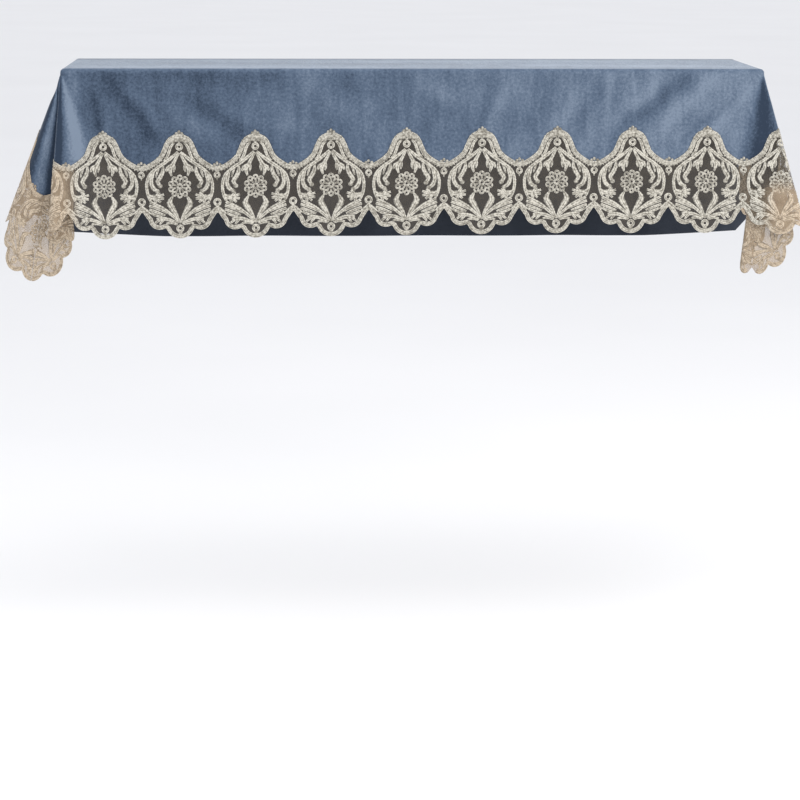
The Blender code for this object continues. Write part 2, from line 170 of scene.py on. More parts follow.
BACK_BANDS = (
    (-0.520, 0.010, -0.380, 0.340, 0.030, 0.50),
    (-0.440, 0.010, -0.300, 0.360, 0.024, -0.45),
    (-0.200, 0.020, -0.120, 0.370, 0.026, -0.45),
    (-0.080, 0.010, 0.020, 0.300, 0.030, 0.35),
    (0.180, 0.010, 0.260, 0.340, 0.030, 0.45),
    (0.500, 0.020, 0.420, 0.360, 0.026, -0.50),
    (0.620, 0.010, 0.560, 0.320, 0.026, 0.40),
)
SIDE_BANDS = (
    (-0.090, 0.010, -0.050, 0.160, 0.018, -0.40),
    (0.030, 0.010, 0.010, 0.170, 0.022, 0.40),
    (0.110, 0.020, 0.080, 0.160, 0.018, -0.35),
)
TOP_BANDS = (
    # ends as x and y
    (-0.760, 0.150, 0.760, 0.168, 0.022, -1.50),
    (-0.100, 0.060, 0.520, 0.085, 0.022, 0.60),
    (-0.560, 0.015, 0.120, -0.030, 0.024, -0.55),
    (0.260, -0.060, 0.720, -0.100, 0.034, 0.75),
    (-0.700, -0.120, 0.000, -0.130, 0.028, 0.60),
)
# Painted light and shade: the front is made lighter towards the right, where the light falls, darker in
# the folds at the front corners, and lighter on the ridges beside them as painted highlights: side,
# angle out from the front edge at the corner, half width in angle, tone
FRONT_PAINTED_LIGHT = 0.50
FOLD_SHADES = (
    ("left", -0.180, 0.120, 1.30),
    ("left", 0.065, 0.040, -1.90),
    ("left", 0.660, 0.090, -2.60),
    ("left", 0.860, 0.090, 1.20),
    ("left", 1.080, 0.100, -1.60),
    ("right", 0.000, 0.190, -1.90),
    ("right", 0.220, 0.130, -0.80),
)
BAND_FADE_IN = 0.030
BAND_FADE_OUT = 0.050
BAND_FADE = 0.020
WANDER = 0.25
WANDER_TURNS = 61
WANDER_SHIFT = 40
# Where a tone begins below an edge of the top, and where a fold's shade begins
EDGE_TONE = (-0.002, 0.010)
PANEL_TONE = (0.0, 0.030)
TOP_TONE = (0.004, -0.006)
FOLD_TONE = (0.004, 0.030)
RELIEF_CLEAR = (0.10, 0.03)
BAND_RISE = 0.0030
HEM = 0.022
HEM_STEP = 0.0009
HEM_SOFT = 0.002
HEM_RIM = 0.0015
NET_PITCH = 0.0022
NET_THREAD = 0.085
SIDE_NET_THREAD = 0.200
# Where the front lace turns warmer in tone beside each corner, out from it and down
WARM = {
    # out from, out to, down from, down to
    "left": (-0.035, 0.010, 0.185, 0.225),
    "right": (-0.005, 0.045, 0.225, 0.265),
}
ALL_WARM_FROM = 0.060
ALL_WARM_TO = 0.120
# Threads of the woven back, and stitches of the lace
WEAVE_PITCH = 0.0012
STITCH_PITCH = 0.0011
# How the net is divided
NET_EDGE_STEP = 0.0045
NET_GRID = 0.010
NET_DOWN = (0.135, 0.345)
NET_STOPS = (0.100, 0.480)
SEAM = (0.10, 0.45)
HALF_SEAM = 0.0002
COUNT_STEP = 0.001

# Where the camera of the photograph stood, from the corners of the top and the lace peaks
CAMERA_AT = (-0.2507, -5.300, 0.3304)
CAMERA_YAW = 0.0427
CAMERA_PITCH = 0.2020
CAMERA_ROLL = 0.0035
CAMERA_LENS = 107.34
SENSOR = 36.0
FLOOR_Z = -1.20
FLOOR_HALF = 150.0
LIGHTS = (
    # name, place, target, size, power, colour
    ("above", (0.6, -0.6, 2.6), (0.1, 0.1, 0.0), (3.2, 2.0), 38, (1.0, 0.98, 0.95)),
    ("front", (2.6, -3.6, 1.5), (0.3, 0.0, -0.2), (2.2, 1.8), 80, (1.0, 0.97, 0.93)),
    ("side", (-3.6, -1.6, 1.0), (-0.4, 0.0, -0.2), (2.0, 2.0), 16, (0.92, 0.96, 1.0)),
)
SKY_COLOUR = (0.93, 0.95, 1.0, 1.0)
SKY_STRENGTH = 0.95

HALF_WIDTH = TOP_WIDTH / 2
HALF_DEPTH = TOP_DEPTH / 2
QUARTER = math.pi / 2
PITCH_MM = PITCH * 1000
EDGE_BLEND = 3 * EDGE_ROUND

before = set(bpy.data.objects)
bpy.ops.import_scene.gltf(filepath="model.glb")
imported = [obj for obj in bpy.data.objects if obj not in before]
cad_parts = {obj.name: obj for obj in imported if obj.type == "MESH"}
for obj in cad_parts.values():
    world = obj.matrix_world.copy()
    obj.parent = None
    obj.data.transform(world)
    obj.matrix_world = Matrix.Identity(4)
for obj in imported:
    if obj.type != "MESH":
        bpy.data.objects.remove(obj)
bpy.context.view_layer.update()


def smooth(low, high, value):
    """0 below low, 1 above high, and a smooth step between."""
    t = np.clip((value - low) / (high - low), 0, 1)
    return t * t * (3 - 2 * t)


def soft_positive(value):
    """The positive part of a value, with a rounded start."""
    e = EDGE_ROUND
    middle = (np.clip(value, -e, e) + e) ** 2 / (4 * e)
    return np.where(value > e, value, middle)


def walk(table, start):
    """The points of a path of runs and turns, the length walked at each, and the first fold."""
    place = np.array(start)
    heading = math.pi
    points = [place.copy()]
    lengths = [0.0]
    first_fold = 0.0
    for number, (run, turn, radius) in enumerate(table):
        steps = max(1, math.ceil(run / STRAIGHT_STEP))
        for _ in range(steps):
            place = place + run / steps * np.array([math.cos(heading), math.sin(heading)])
            points.append(place.copy())
            lengths.append(lengths[-1] + run / steps)
        if number == 1:
            first_fold = lengths[-1]
        angle = math.radians(turn)
        steps = math.ceil(abs(angle) / TURN_STEP)
        for _ in range(steps):
            part = angle / steps
            chord = 2 * radius * math.sin(abs(part) / 2)
            middle = heading + part / 2
            place = place + chord * np.array([math.cos(middle), math.sin(middle)])
            heading += part
            points.append(place.copy())
            lengths.append(lengths[-1] + radius * abs(part))
    return np.array(points), np.array(lengths), first_fold


def close_path(table, side_spread):
    """The table with its two open runs worked out, so that the path ends on the side panel."""
    open_rows = [row for row in range(len(table)) if table[row][0] is None]
    start = (FRONT_SPREAD, 0.0)
    goal = np.array([0.0, side_spread])

    def with_runs(runs):
        rows = list(table)
        for row, run in zip(open_rows, runs):
            rows[row] = (run, rows[row][1], rows[row][2])
        return rows

    base = walk(with_runs((0.0, 0.0)), start)[0][-1]
    along_first = walk(with_runs((1.0, 0.0)), start)[0][-1] - base
    along_second = walk(with_runs((0.0, 1.0)), start)[0][-1] - base
    runs = np.linalg.solve(np.column_stack((along_first, along_second)), goal - base)
    return with_runs(tuple(runs))


class Corner:
    """The folds of one corner, as straight rulings that run out from it."""

    def __init__(self, table, side_spread):
        rows = close_path(table, side_spread)
        points, lengths, first_fold = walk(rows, (FRONT_SPREAD, 0.0))
        keep = np.concatenate(([True], np.diff(lengths) > 1e-6))
        points, lengths = points[keep], lengths[keep]
        rest = QUARTER + side_spread + FRONT_SPREAD - first_fold
        scale = rest / (lengths[-1] - first_fold)
        past = np.maximum(lengths - first_fold, 0)
        self.angles = -FRONT_SPREAD + np.minimum(lengths, first_fold) + past * scale
        self.folded = points
        self.plain = np.column_stack(
            (np.maximum(-self.angles, 0), np.maximum(self.angles - QUARTER, 0))
        )
        self.loop = self.without_pleat(first_fold - FRONT_SPREAD)

    def without_pleat(self, fold_angle):
        """The path close to the corner, where no pleat has begun: one round loop."""
        share = np.clip((self.angles - fold_angle) / (self.angles[-1] - fold_angle), 0, 1)
        start = self.folded[np.argmin(np.abs(self.angles - fold_angle))]
        finish = self.folded[-1]
        pull_out = LOOP_PULL_OUT * (LOOP_START * start[0] - self.folded[:, 0].min())
        pulls = (
            ((1 - share) ** 3, start),
            (3 * (1 - share) ** 2 * share, start + (-pull_out, LOOP_RISE)),
            (3 * (1 - share) * share**2, finish - (0, LOOP_PULL_IN)),
            (share**3, finish),
        )
        loop = sum(weight[:, None] * point for weight, point in pulls)
        return np.where((self.angles > fold_angle)[:, None], loop, self.folded)

    def ruling(self, index, distance):
        """Places on the rulings of these numbers, at these distances from the corner."""
        late = smooth(PLEAT_START, PLEAT_FULL, distance)[:, None]
        path = self.loop[index] + late * (self.folded[index] - self.loop[index])
        grown = soft_positive(distance - FOLD_START) / np.maximum(distance, 1e-6)
        across, inward = (self.plain[index] + grown[:, None] * (path - self.plain[index])).T
        size = np.maximum(np.hypot(across, inward), 1e-9)
        side = np.sin(size) / size
        return distance[:, None] * np.column_stack(
            (side * across, side * inward, -np.cos(size))
        )

    def place(self, x, y):
        """Where a flat point x beyond the side edge and y beyond the front edge comes to lie."""
        angle = np.arctan2(x, y)
        distance = np.hypot(x, y)
        front = np.column_stack((-x, np.zeros_like(x), -y))
        side = np.column_stack((np.zeros_like(x), -y, -x))
        index = np.clip(np.searchsorted(self.angles, angle) - 1, 0, len(self.angles) - 2)
        low, high = self.angles[index], self.angles[index + 1]
        from_low = distance * np.sin(angle - low) / np.sin(high - low)
        from_high = distance * np.sin(high - angle) / np.sin(high - low)
        total = from_low + from_high
        share = from_low / np.where(total == 0, 1, total)
        fold = (1 - share)[:, None] * self.ruling(index, total)
        fold += share[:, None] * self.ruling(index + 1, total)
        result = np.where((angle < self.angles[0])[:, None], front, fold)
        return np.where((angle > self.angles[-1])[:, None], side, result)


CORNERS = {
    ("left", "front"): Corner(WIDE_EAR, WIDE_EAR_SIDE_SPREAD),
    ("right", "front"): Corner(FLAT_EAR, FLAT_EAR_SIDE_SPREAD),
    ("left", "back"): Corner(FLAT_EAR, FLAT_EAR_SIDE_SPREAD),
    ("right", "back"): Corner(FLAT_EAR, FLAT_EAR_SIDE_SPREAD),
}


def wave(x, down, table):
    """How far a hanging panel stands out."""
    swell = np.zeros_like(x)
    for centre, half_width, outward in table:
        swell += outward * (1 - smooth(0, half_width, np.abs(x - centre)))
    window = 1 - smooth(HALF_WIDTH - 2 * WAVE_CLEAR, HALF_WIDTH - WAVE_CLEAR, np.abs(x))
    return swell * window * smooth(0, WAVE_DEPTH_AT, down)


def drape_corner(corner, x_out, y_out):
    """One quarter of the cloth, seen from its corner of the top."""
    soft_x, soft_y = soft_positive(x_out), soft_positive(y_out)
    by_front = corner.place(x_out, soft_y)
    by_front[:, 1] += soft_y - y_out
    by_side = corner.place(soft_x, y_out)
    by_side[:, 0] += soft_x - x_out
    share = smooth(-EDGE_BLEND, EDGE_BLEND, x_out - y_out)[:, None]
    return (1 - share) * by_front + share * by_side


def drape(x, y):
    """The inner face of the hanging cloth, for arrays of flat coordinates."""
    x, y = np.asarray(x, float), np.asarray(y, float)
    result = np.zeros((len(x), 3))
    for side, x_sign in (("left", -1), ("right", 1)):
        for end, y_sign in (("front", -1), ("back", 1)):
            mine = ((x < 0) == (x_sign < 0)) & ((y < 0) == (y_sign < 0))
            if not mine.any():
                continue
            x_out = x_sign * x[mine] - HALF_WIDTH
            y_out = y_sign * y[mine] - HALF_DEPTH
            local = drape_corner(CORNERS[side, end], x_out, y_out)
            waves = FRONT_WAVES if end == "front" else BACK_WAVES
            local[:, 1] -= wave(x[mine], y_out, waves)
            result[mine, 0] = x_sign * (HALF_WIDTH - local[:, 0])
            result[mine, 1] = y_sign * (HALF_DEPTH - local[:, 1])
            result[mine, 2] = local[:, 2]
    return result


def outward(x, y):
    """The unit normal of the hanging cloth, on its outer side."""
    along_x = drape(x + NORMAL_STEP, y) - drape(x - NORMAL_STEP, y)
    along_y = drape(x, y + NORMAL_STEP) - drape(x, y - NORMAL_STEP)
    normal = np.cross(along_x, along_y)
    return normal / np.maximum(np.linalg.norm(normal, axis=1), 1e-12)[:, None]


def bands(x, down, table):
    """The tone of soft bands along slanted lines of a panel."""
    total = np.zeros_like(x)
    for x_start, down_start, x_end, down_end, half_width, tone in table:
        run = np.array([x_end - x_start, down_end - down_start])
        length = np.hypot(*run)
        run = run / length
        along = (x - x_start) * run[0] + (down - down_start) * run[1]
        across = (x - x_start) * run[1] - (down - down_start) * run[0]
        wander = WANDER * half_width * np.sin(along * WANDER_TURNS + x_start * WANDER_SHIFT)
        fade = smooth(-BAND_FADE_IN, BAND_FADE, along)
        fade = fade * (1 - smooth(length - BAND_FADE, length + BAND_FADE_OUT, along))
        total += tone * fade * np.exp(-(((across + wander) / half_width) ** 2))
    return total


def nap_and_painted_shade(x, y):
    """How much lighter or darker the cloth is made, over the whole cloth: where the pile lies lighter
    or darker, and on the front in part painted light and shade of its soft folds.
    """
    front_down = -HALF_DEPTH - y
    back_down = y - HALF_DEPTH
    side_down = np.abs(x) - HALF_WIDTH
    tone = bands(x, front_down, FRONT_BANDS) * smooth(*EDGE_TONE, front_down)
    tone += bands(x, back_down, BACK_BANDS) * smooth(*PANEL_TONE, back_down)
    tone += bands(y * np.sign(x), side_down, SIDE_BANDS) * smooth(*PANEL_TONE, side_down)
    on_top = smooth(*TOP_TONE, np.maximum(side_down, np.maximum(front_down, back_down)))
    return tone + bands(x, y, TOP_BANDS) * on_top


def shade(x, y):
    """Painted light and shade of the front: lighter towards the right, where the light falls, darker in
    its two corner folds, and with painted highlights on the ridges beside them.
    """
    down = -HALF_DEPTH - y
    hanging = smooth(*EDGE_TONE, down)
    # Painted light: the hanging front is made lighter towards the right, where the light falls
    tone = FRONT_PAINTED_LIGHT * np.clip(x / HALF_WIDTH, -1, 1) * hanging
    # Painted shade in the corner folds, and painted highlights on the ridges beside them
    for side, centre, half_width, strength in FOLD_SHADES:
        sign = -1 if side == "left" else 1
        out = sign * x - HALF_WIDTH
        angle = np.arctan2(out, np.maximum(down, 1e-6))
        near = smooth(*FOLD_TONE, np.hypot(out, down)) * (down > 0)
        tone += strength * near * np.exp(-(((angle - centre) / half_width) ** 2))
    return tone


def warmth(x, y):
    """How warm the front lace is in tone: only near the two corners and past them."""
    out = np.abs(x) - HALF_WIDTH
    down = -HALF_DEPTH - y
    share = smooth(ALL_WARM_FROM, ALL_WARM_TO, out)
    for side, (out_from, out_to, down_from, down_to) in WARM.items():
        here = (x < 0) == (side == "left")
        near = smooth(out_from, out_to, out) * smooth(down_from, down_to, down)
        share = np.where(here, np.maximum(share, near), share)
    return share


def relief(x, y):
    """The soft swells and dips of the cloth, outward, away from its folds."""
    far, close = RELIEF_CLEAR
    inside = 1 - smooth(HALF_WIDTH - far, HALF_WIDTH - close, np.abs(x))
    hanging = smooth(*PANEL_TONE, np.abs(y) - HALF_DEPTH)
    return BAND_RISE * nap_and_painted_shade(x, y) * inside * hanging


def surface(x, y, lift):
    """A face of the cloth that stands off its inner face by lift."""
    normal = outward(x, y)
    return drape(x, y) + (lift + relief(x, y))[:, None] * normal


def front_repeat(x):
    """The count of lace repeats along the front, whole at a valley."""
    x = np.asarray(x, float)
    even = np.clip(x, EVEN_FROM_X, EVEN_TO_X) - FIRST_VALLEY_X
    left = np.maximum(EVEN_FROM_X - x, 0) / LEFT_STRETCH
    right = np.maximum(x - EVEN_TO_X, 0) / RIGHT_STRETCH
    return (even + right - left) / PITCH


def side_repeat(side, y_out):
    """The same count along one side, so that the lace matches at the mitre."""
    y_out = np.asarray(y_out, float)
    if side == "right":
        return front_repeat(HALF_WIDTH + y_out)
    shift = LEFT_SIDE_SHIFT * (1 - smooth(SHIFT_FROM, SHIFT_TO, y_out))
    return front_repeat(-HALF_WIDTH - y_out - shift)


def from_middle(count):
    """The distance from the middle of a lace repeat."""
    return PITCH * (count - np.floor(count) - 0.5)


def upper_edge(count):
    """How far down the upper edge of the lace is."""
    across, down = np.array(UPPER_EDGE).T
    return np.interp(np.abs(from_middle(count)), across, down)


def sag(count):
    """How much lower the lace hangs towards its left end."""
    start, full, falling, none = SAG_COUNTS
    return LEFT_SAG * smooth(start, full, count) * (1 - smooth(falling, none, count))


def lower_edge(count):
    """How far down the lower edge of the lace is."""
    across = np.abs(from_middle(count))
    down = LOWER_VALLEY + np.minimum(LOWER_SLOPE * (PITCH / 2 - across), LOWER_RISE)
    for centre, depth, radius in LOBES:
        bow = np.sqrt(np.maximum(radius**2 - (across - centre) ** 2, 0))
        down = np.where(np.abs(across - centre) < radius, np.maximum(down, depth + bow), down)
    return down


def velvet_edge(count):
    return upper_edge(count) + sag(count) + LACE_OVERLAP


def steps_between(low, high, step):
    return np.linspace(low, high, max(2, round((high - low) / step) + 1))


def cross_diagonal(edge, repeat):
    """The distance along an edge at which it meets the diagonal of the corner."""
    low, high = DIAGONAL_FROM, DIAGONAL_TO
    for _ in range(HALVINGS):
        middle = (low + high) / 2
        if edge(repeat(middle)) > middle:
            low = middle
        else:
            high = middle
    return low


def velvet_outline():
    """The cut edge of the velvet, from the left end of the front."""
    left = cross_diagonal(velvet_edge, lambda out: front_repeat(-HALF_WIDTH - out))
    right = cross_diagonal(velvet_edge, lambda out: front_repeat(HALF_WIDTH + out))
    x = steps_between(-HALF_WIDTH - left, HALF_WIDTH + right, EDGE_STEP)
    points = list(zip(x, -HALF_DEPTH - velvet_edge(front_repeat(x))))
    back = HALF_DEPTH + BACK_DROP
    side_end = HALF_DEPTH + SIDE_END
    y = steps_between(-HALF_DEPTH - right, side_end, EDGE_STEP)[1:]
    down = velvet_edge(side_repeat("right", -HALF_DEPTH - y))
    points += list(zip(HALF_WIDTH + down, y))
    right_x = HALF_WIDTH + down[-1]
    y_left = steps_between(-HALF_DEPTH - left, side_end, EDGE_STEP)[1:][::-1]
    down = velvet_edge(side_repeat("left", -HALF_DEPTH - y_left))
    left_x = -HALF_WIDTH - down[0]
    cut = BACK_CORNER_CUT
    shares = steps_between(0, 1, 0.1)
    hem = steps_between(left_x + cut, right_x - cut, LINE_STEP)[-2:0:-1]
    points += [(right_x - cut * share, back - cut * (1 - share)) for share in shares]
    points += [(value, back) for value in hem]
    points += [(left_x + cut * (1 - share), back - cut * share) for share in shares]
    points += list(zip(-HALF_WIDTH - down, y_left))
    return [tuple(point) for point in points]


def corner_signs(side, end):
    return (-1 if side == "left" else 1), (-1 if end == "front" else 1)


def at_corner(side, end, distance, angle):
    """The flat point at this distance and angle from a corner of the top."""
    x_sign, y_sign = corner_signs(side, end)
    x = x_sign * (HALF_WIDTH + distance * math.sin(angle))
    y = y_sign * (HALF_DEPTH + distance * math.cos(angle))
    return x, y


def rulings(side, end, stops):
    """The straight fold lines of one corner, as runs of flat points."""
    lines = []
    for angle in CORNERS[side, end].angles:
        lines.append([at_corner(side, end, stop, angle) for stop in stops])
    return lines


def in_fold(x, y):
    """Whether a flat point lies where the fold lines of a corner carry the shape."""
    side = "left" if x < 0 else "right"
    end = "front" if y < 0 else "back"
    x_sign, y_sign = corner_signs(side, end)
    x_out = x_sign * x - HALF_WIDTH
    y_out = y_sign * y - HALF_DEPTH
    angles = CORNERS[side, end].angles
    distance = math.hypot(x_out, y_out)
    angle = math.atan2(x_out, y_out)
    return distance > FOLD_FROM and angles[0] - FOLD_ROOM < angle < angles[-1] + FOLD_ROOM


def anticlockwise(loop):
    """The same closed outline, run anticlockwise."""
    x, y = np.array(loop).T
    area = np.sum(x * np.roll(y, -1) - y * np.roll(x, -1))
    return list(loop) if area > 0 else list(loop)[::-1]


def mark(made, name, values):
    """Give each point of a mesh a value that its material reads."""
    layer = made.data.attributes.new(name, "FLOAT", "POINT")
    layer.data.foreach_set("value", np.asarray(values, dtype=np.float32))


def cut_flat(outline, lines, loose, keep):
    """Triangles of the flat cloth inside its outline, and its flat area."""
    points = [Vector(point) for point in anticlockwise(outline)]
    faces = [list(range(len(points)))]
    edges = []
    for line in lines:
        first = len(points)
        points += [Vector(point) for point in line]
        edges += [(number, number + 1) for number in range(first, first + len(line) - 1)]
    points += [Vector(point) for point in loose]
    verts, _, triangles, _, _, origins = delaunay_2d_cdt(points, edges, faces, 0, MERGE)
    flat = np.array([tuple(vert) for vert in verts])
    kept = []
    for triangle, origin in zip(triangles, origins):
        if 0 in origin and keep(*flat[list(triangle)].mean(axis=0)):
            kept.append(list(triangle))
    kept = np.array(kept)
    used, kept = np.unique(kept, return_inverse=True)
    flat = flat[used]
    kept = kept.reshape(-1, 3)
    first, second, third = flat[kept[:, 0]], flat[kept[:, 1]], flat[kept[:, 2]]
    cross = np.cross(second - first, third - first)
    return flat, kept, float(np.abs(cross).sum() / 2)


# Materials


class Nodes:
    """Short calls to build a node material."""

    def __init__(self, name):
        self.material = bpy.data.materials.new(name)
        self.material.use_nodes = True
        self.tree = self.material.node_tree
        self.shader = self.tree.nodes["Principled BSDF"]

    def add(self, kind, constants=None, **settings):
        """A node with its constant inputs and its settings."""
        node = self.tree.nodes.new(kind)
        for key, value in settings.items():
            setattr(node, key, value)
        for key, value in (constants or {}).items():
            node.inputs[key].default_value = value
        return node

    def link(self, start, end):
        self.tree.links.new(start, end)

    def coordinates(self, kind):
        return self.add("ShaderNodeTexCoord").outputs[kind]

    def attribute(self, name):
        return self.add("ShaderNodeAttribute", attribute_name=name).outputs["Fac"]

    def parts(self, place):
        """The three parts of a place."""
        node = self.add("ShaderNodeSeparateXYZ")
        self.link(place, node.inputs[0])
        return node.outputs

    def math(self, operation, *values):
        node = self.add("ShaderNodeMath", operation=operation)
        for socket, value in zip(node.inputs, values):
            if hasattr(value, "is_output"):
                self.link(value, socket)
            else:
                socket.default_value = value
        return node.outputs[0]

    def sum(self, first, *rows):
        """Tones added up, each with its weight."""
        total = self.math("MULTIPLY", *first)
        for tone, weight in rows:
            total = self.math("MULTIPLY_ADD", tone, weight, total)
        return total

    def noise(self, place, scale, detail=2.0, roughness=0.5, distortion=0.0):
        constants = {
            "Scale": scale,
            "Detail": detail,
            "Roughness": roughness,
            "Distortion": distortion,
        }
        node = self.add("ShaderNodeTexNoise", constants)
        self.link(place, node.inputs["Vector"])
        return node.outputs["Fac"]

    def span(self, value, low, high, to_low=0.0, to_high=1.0):
        ends = {"From Min": low, "From Max": high, "To Min": to_low, "To Max": to_high}
        node = self.add("ShaderNodeMapRange", ends, clamp=True)
        self.link(value, node.inputs["Value"])
        return node.outputs["Result"]

    def ramp(self, value, *stops):
        node = self.add("ShaderNodeValToRGB")
        self.link(value, node.inputs[0])
        band = node.color_ramp
        while len(band.elements) < len(stops):
            band.elements.new(0.5)
        for element, (place, colour) in zip(band.elements, stops):
            element.position = place
            element.color = (*colour, 1.0)
        return node.outputs[0]

    def blended(self, share, first, second):
        """Two colours, mixed by a share."""
        mix = self.add("ShaderNodeMix", data_type="RGBA")
        for name, value in (("Factor", share), ("A", first), ("B", second)):
            self.link(value, mix.inputs[name])
        return mix.outputs["Result"]

    def scaled(self, place, scale):
        node = self.add("ShaderNodeVectorMath", {1: scale}, operation="MULTIPLY")
        self.link(place, node.inputs[0])
        return node.outputs[0]

    def bump(self, height, strength, distance):
        node = self.add("ShaderNodeBump", {"Strength": strength, "Distance": distance})
        self.link(height, node.inputs["Height"])
        self.link(node.outputs[0], self.shader.inputs["Normal"])

    def finished(self, colour, roughness, constants=None):
        """The material, once its colour and its constant inputs are set."""
        self.link(colour, self.shader.inputs["Base Color"])
        for key, value in {"Roughness": roughness, **(constants or {})}.items():
            self.shader.inputs[key].default_value = value
        return self.material


def velvet_look():
    """Velvet with a short uneven pile: fine mottling, long faint streaks, and bands where the pile lies
    lighter or darker, with painted light and shade of the folds and corners.
    """
    made = Nodes("blue velvet")
    place = made.coordinates("UV")
    streaks = made.noise(made.scaled(place, (42.0, 9.0, 1.0)), 1.0, 4.0, 0.6, 0.8)
    cloudy = made.noise(place, 11.0, 3.0, 0.55, 0.5)
    tufts = made.noise(place, 170.0, 5.0, 0.70)
    fibre = made.noise(place, 1100.0, 2.0, 0.6)
    # Tone from each point of the cloth: the pile lying lighter or darker, with painted light and shade
    # of the soft folds, the corner folds and the lighter right side
    pile_and_painted_shade = made.attribute("nap_and_painted_shade")
    mixed = made.sum((tufts, 0.48), (streaks, 0.24), (cloudy, 0.18), (fibre, 0.10), (pile_and_painted_shade, 0.17))
    dark = (0.30, (0.022, 0.036, 0.062))
    middle = (0.49, (0.078, 0.112, 0.168))
    light = (0.68, (0.175, 0.222, 0.292))
    made.bump(made.math("MULTIPLY_ADD", fibre, 0.3, tufts), 0.5, 0.0018)
    sheen = {
        "Specular IOR Level": 0.2,
        "Sheen Weight": 0.50,
        "Sheen Roughness": 0.36,
        "Sheen Tint": (0.90, 0.95, 1.0, 1.0),
    }
    return made.finished(made.ramp(mixed, dark, middle, light), 0.85, sheen)


def reverse_look():
    """The woven back of the velvet: dull, with a fine even weave, and darker than the face: partly its
    own darker backing and partly painted shade, so that the inside of the cover reads dark through the
    lace.
    """
    made = Nodes("velvet reverse")
    place = made.coordinates("UV")
    across, along, _ = made.parts(place)
    threads = 2 * math.pi / WEAVE_PITCH
    warp = made.math("SINE", made.math("MULTIPLY", across, threads))
    weft = made.math("SINE", made.math("MULTIPLY", along, threads))
    made.bump(made.math("MULTIPLY", warp, weft), 0.3, 0.0004)
    cloudy = made.noise(place, 12.0, 3.0)
    # Very dark blue: painted shade in part, for the inside of the cover seen through the lace
    dark = (0.3, (0.018, 0.024, 0.036))
    return made.finished(made.ramp(cloudy, dark, (0.7, (0.030, 0.038, 0.054))), 0.95)


def thread_look():
    """Looped stitches of pale thread: dark between the loops and along the rib of each leaf, with
    painted shade along the edges of each cord.
    """
    made = Nodes("cream thread")
    place = made.coordinates("Object")
    along, aside, _ = made.parts(made.coordinates("UV"))
    stitches = made.math("SINE", made.math("MULTIPLY", along, 2 * math.pi / STITCH_PITCH))
    aside = made.math("ABSOLUTE", aside)
    rib = made.span(aside, 0.0002, 0.0011)
    # Painted shade: each cord a little darker along its edges, where it meets the net
    rim = made.span(aside, 0.0024, 0.0046, 1.0, 0.75)
    loops = made.add("ShaderNodeTexVoronoi", {"Scale": 210.0})
    made.link(place, loops.inputs["Vector"])
    centre = made.span(loops.outputs["Distance"], 0.15, 0.75, 1.0, 0.0)
    tone = made.noise(place, 60.0, 4.0, 0.6)
    fine = made.noise(place, 620.0, 2.0, 0.6)
    mixed = made.sum((tone, 0.30), (fine, 0.22), (centre, 0.26), (rib, 0.20), (stitches, 0.05))
    mixed = made.math("MULTIPLY", mixed, rim)
    made.bump(made.math("MULTIPLY_ADD", fine, 0.6, mixed), 0.6, 0.0010)
    cream = made.ramp(mixed, (0.29, (0.105, 0.092, 0.068)), (0.62, (0.63, 0.60, 0.52)))
    warm = made.ramp(mixed, (0.22, (0.150, 0.105, 0.062)), (0.62, (0.59, 0.485, 0.360)))
    colour = made.blended(made.attribute("past"), cream, warm)
    return made.finished(colour, 0.62, {"Specular IOR Level": 0.35, "Sheen Weight": 0.15})


def net_look():
    """Fine ecru net: threads crossed at a slant, with clear holes between them."""
    made = Nodes("ecru net")
    across, down, _ = made.parts(made.coordinates("UV"))
    past = made.attribute("past")
    width = made.math("MULTIPLY_ADD", past, SIDE_NET_THREAD - NET_THREAD, NET_THREAD)
    thread = 0.0
    for slant in (60, -60, 0):
        turn = math.radians(slant)
        line = made.math("MULTIPLY", across, math.cos(turn) / NET_PITCH)
        line = made.math("MULTIPLY_ADD", down, math.sin(turn) / NET_PITCH, line)
        off = made.math("ABSOLUTE", made.math("SUBTRACT", made.math("FRACT", line), 0.5))
        thread = made.math("MAXIMUM", made.math("LESS_THAN", off, width), thread)
    made.link(thread, made.shader.inputs["Alpha"])
    tone = made.noise(made.coordinates("Object"), 40.0, 3.0)
    front = made.ramp(tone, (0.3, (0.078, 0.064, 0.046)), (0.7, (0.118, 0.098, 0.072)))
    side = made.ramp(tone, (0.3, (0.27, 0.195, 0.125)), (0.7, (0.42, 0.325, 0.225)))
    return made.finished(made.blended(past, front, side), 0.7)


def floor_look():
    made = Nodes("pale floor")
    tone = made.noise(made.coordinates("Object"), 0.8, 2.0)
    return made.finished(made.ramp(tone, (0.3, (0.90, 0.89, 0.88)), (0.7, (0.92, 0.91, 0.90))), 0.9)


def new_object(name, verts, faces, looks, face_looks=None, uv=None, shade=True):
    """A mesh object from arrays, with a flat map if one is given."""
    mesh = bpy.data.meshes.new(name)
    mesh.from_pydata([tuple(vert) for vert in verts], [], [list(face) for face in faces])
    for look in looks:
        mesh.materials.append(look)
    if face_looks is not None:
        mesh.polygons.foreach_set("material_index", np.asarray(face_looks, dtype=np.int32))
    if uv is not None:
        layer = mesh.uv_layers.new(name="flat")
        corner_verts = np.zeros(len(mesh.loops), dtype=np.int32)
        mesh.loops.foreach_get("vertex_index", corner_verts)
        layer.data.foreach_set("uv", np.asarray(uv, dtype=np.float32)[corner_verts].ravel())
    if shade:
        mesh.polygons.foreach_set("use_smooth", np.ones(len(mesh.polygons), dtype=bool))
    mesh.update()
    made = bpy.data.objects.new(name, mesh)
    bpy.context.scene.collection.objects.link(made)
    return made


def rim_edges(triangles):
    """The directed edges that only one triangle has."""
    edges = np.vstack((triangles[:, (0, 1)], triangles[:, (1, 2)], triangles[:, (2, 0)]))
    known = {tuple(edge) for edge in edges.tolist()}
    return [edge for edge in known if (edge[1], edge[0]) not in known]


# The velvet


